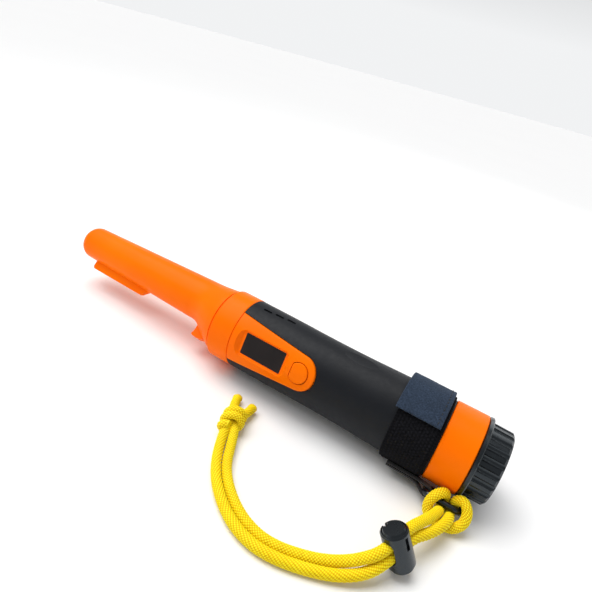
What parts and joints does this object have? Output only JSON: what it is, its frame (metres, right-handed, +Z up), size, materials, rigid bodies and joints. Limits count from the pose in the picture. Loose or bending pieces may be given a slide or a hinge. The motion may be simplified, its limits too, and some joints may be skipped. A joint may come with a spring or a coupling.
{
  "type": "pinpointer probe",
  "caption": "Handheld pinpointer metal probe with a round-nosed tip, scraper blade, display window, rubber grip, screw battery cap, wrist strap and cord lanyard.",
  "frame": {"origin": "centre of the probe's own box, at the bottom of the strap that it lies on", "axes": "+X from the tip to the battery cap, along the handle; +Z up with the display facing -Y and up"},
  "size_m": [0.2614, 0.1114, 0.0427],
  "materials": {
    "orange_shell": "satin moulded orange plastic",
    "grip_rubber": "matt black soft-touch rubber",
    "window": "dark clear acrylic",
    "black_plastic": "matt black moulded plastic",
    "seal_rubber": "black rubber",
    "board": "green solder mask",
    "chip": "moulded epoxy",
    "steel": "plain steel",
    "copper": "enamelled copper wire",
    "ferrite": "fired ferrite",
    "white_plastic": "natural nylon",
    "foam": "closed-cell foam",
    "battery_case": "plain painted metal case",
    "wire": "insulated wire",
    "hook_fabric": "woven hook tape, blue-black",
    "loop_fabric": "brushed loop tape, black",
    "webbing": "flat black webbing",
    "cord_yellow": "braided yellow cord"
  },
  "bodies": {
    "probe": {"probe_shell": "orange_shell", "rear_ring": "orange_shell", "grip_sleeve": "grip_rubber", "display_window": "window", "display_module": "chip", "button_membrane": "seal_rubber", "tact_switch": "chip", "main_board": "board", "board_components": "chip", "chassis_tray": "white_plastic", "board_screws": "steel", "buzzer": "black_plastic", "vibration_motor": "steel", "ferrite_rod": "ferrite", "coil_former": "white_plastic", "coil_windings": "copper", "coil_cushions": "foam", "coil_leads": "wire", "battery": "battery_case", "battery_terminals": "steel", "battery_snap": "black_plastic", "battery_leads": "wire", "strap_band": "loop_fabric", "strap_root": "hook_fabric", "strap_tab": "webbing", "lanyard_ring": "black_plastic", "lanyard_a": "cord_yellow", "lanyard_b": "cord_yellow", "lanyard_knot": "cord_yellow", "lock_barrel": "black_plastic", "lock_spring": "steel"},
    "button": {"power_button": "orange_shell"},
    "seal": {"cap_seal": "seal_rubber"},
    "cap": {"battery_cap": "black_plastic", "cap_pad": "foam"},
    "flap": {"strap_flap": "hook_fabric"},
    "plunger": {"lock_plunger": "black_plastic"},
    "weight": {"motor_weight": "steel"}
  },
  "joints": [
    {"name": "power_press", "type": "slide", "parent": "probe", "child": "button", "axis": [0, 0.9455, -0.3256], "range_m": [0, 0.0006], "stiffness_N_per_m": 1500, "springref_m": -0.0008},
    {"name": "cap_travel", "type": "slide", "parent": "probe", "child": "seal", "axis": [1, 0, 0], "range_m": [0, 0.005]},
    {"name": "cap_turn", "type": "hinge", "parent": "seal", "child": "cap", "pos_m": [0.1193, 0, 0.02055], "axis": [1, 0, 0], "range_deg": [0, 720]},
    {"name": "flap_peel", "type": "hinge", "parent": "probe", "child": "flap", "pos_m": [0, 0.01876, 0.03112], "axis": [-1, 0, 0], "range_deg": [0, 75]},
    {"name": "lock_press", "type": "slide", "parent": "probe", "child": "plunger", "axis": [0.52, 0, -0.8542], "range_m": [0, 0.0018], "stiffness_N_per_m": 1200, "springref_m": -0.0015, "deforming": ["lock_spring"]},
    {"name": "weight_spin", "type": "hinge", "parent": "probe", "child": "weight", "pos_m": [0.0327, 0.00113, 0.02016], "axis": [1, 0, 0], "continuous": true}
  ],
  "couplings": [
    {"joint": "cap_travel", "follows": "cap_turn", "m_per_rad": 0.00039789}
  ]
}
